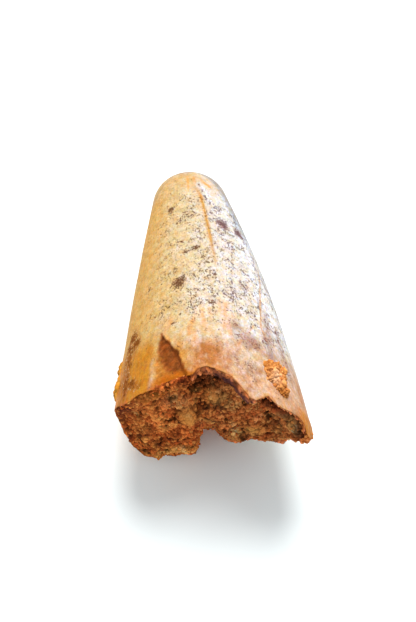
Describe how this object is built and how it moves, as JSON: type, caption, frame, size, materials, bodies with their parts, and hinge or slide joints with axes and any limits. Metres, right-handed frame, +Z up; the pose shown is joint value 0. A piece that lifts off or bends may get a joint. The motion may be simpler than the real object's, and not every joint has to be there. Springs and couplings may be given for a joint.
{
  "type": "fossil crocodile tooth",
  "caption": "Fossil crocodile tooth crown with a broken base, its hollow packed with sandstone; lies on its side as a display piece or small prop.",
  "frame": {"origin": "on the surface it rests on, below the middle of the object's box", "axes": "+Y points from the broken base to the tip, +Z is up as it lies, +X is to its right seen from above with the tip away"},
  "size_m": [0.0266, 0.0512, 0.0247],
  "materials": {
    "enamel": "satin",
    "sandstone": "matte",
    "pale_sandstone": "matte"
  },
  "bodies": {
    "root": {"tooth_crown": "enamel", "sandstone_fill": "sandstone", "sandstone_lump": "pale_sandstone"}
  },
  "joints": []
}
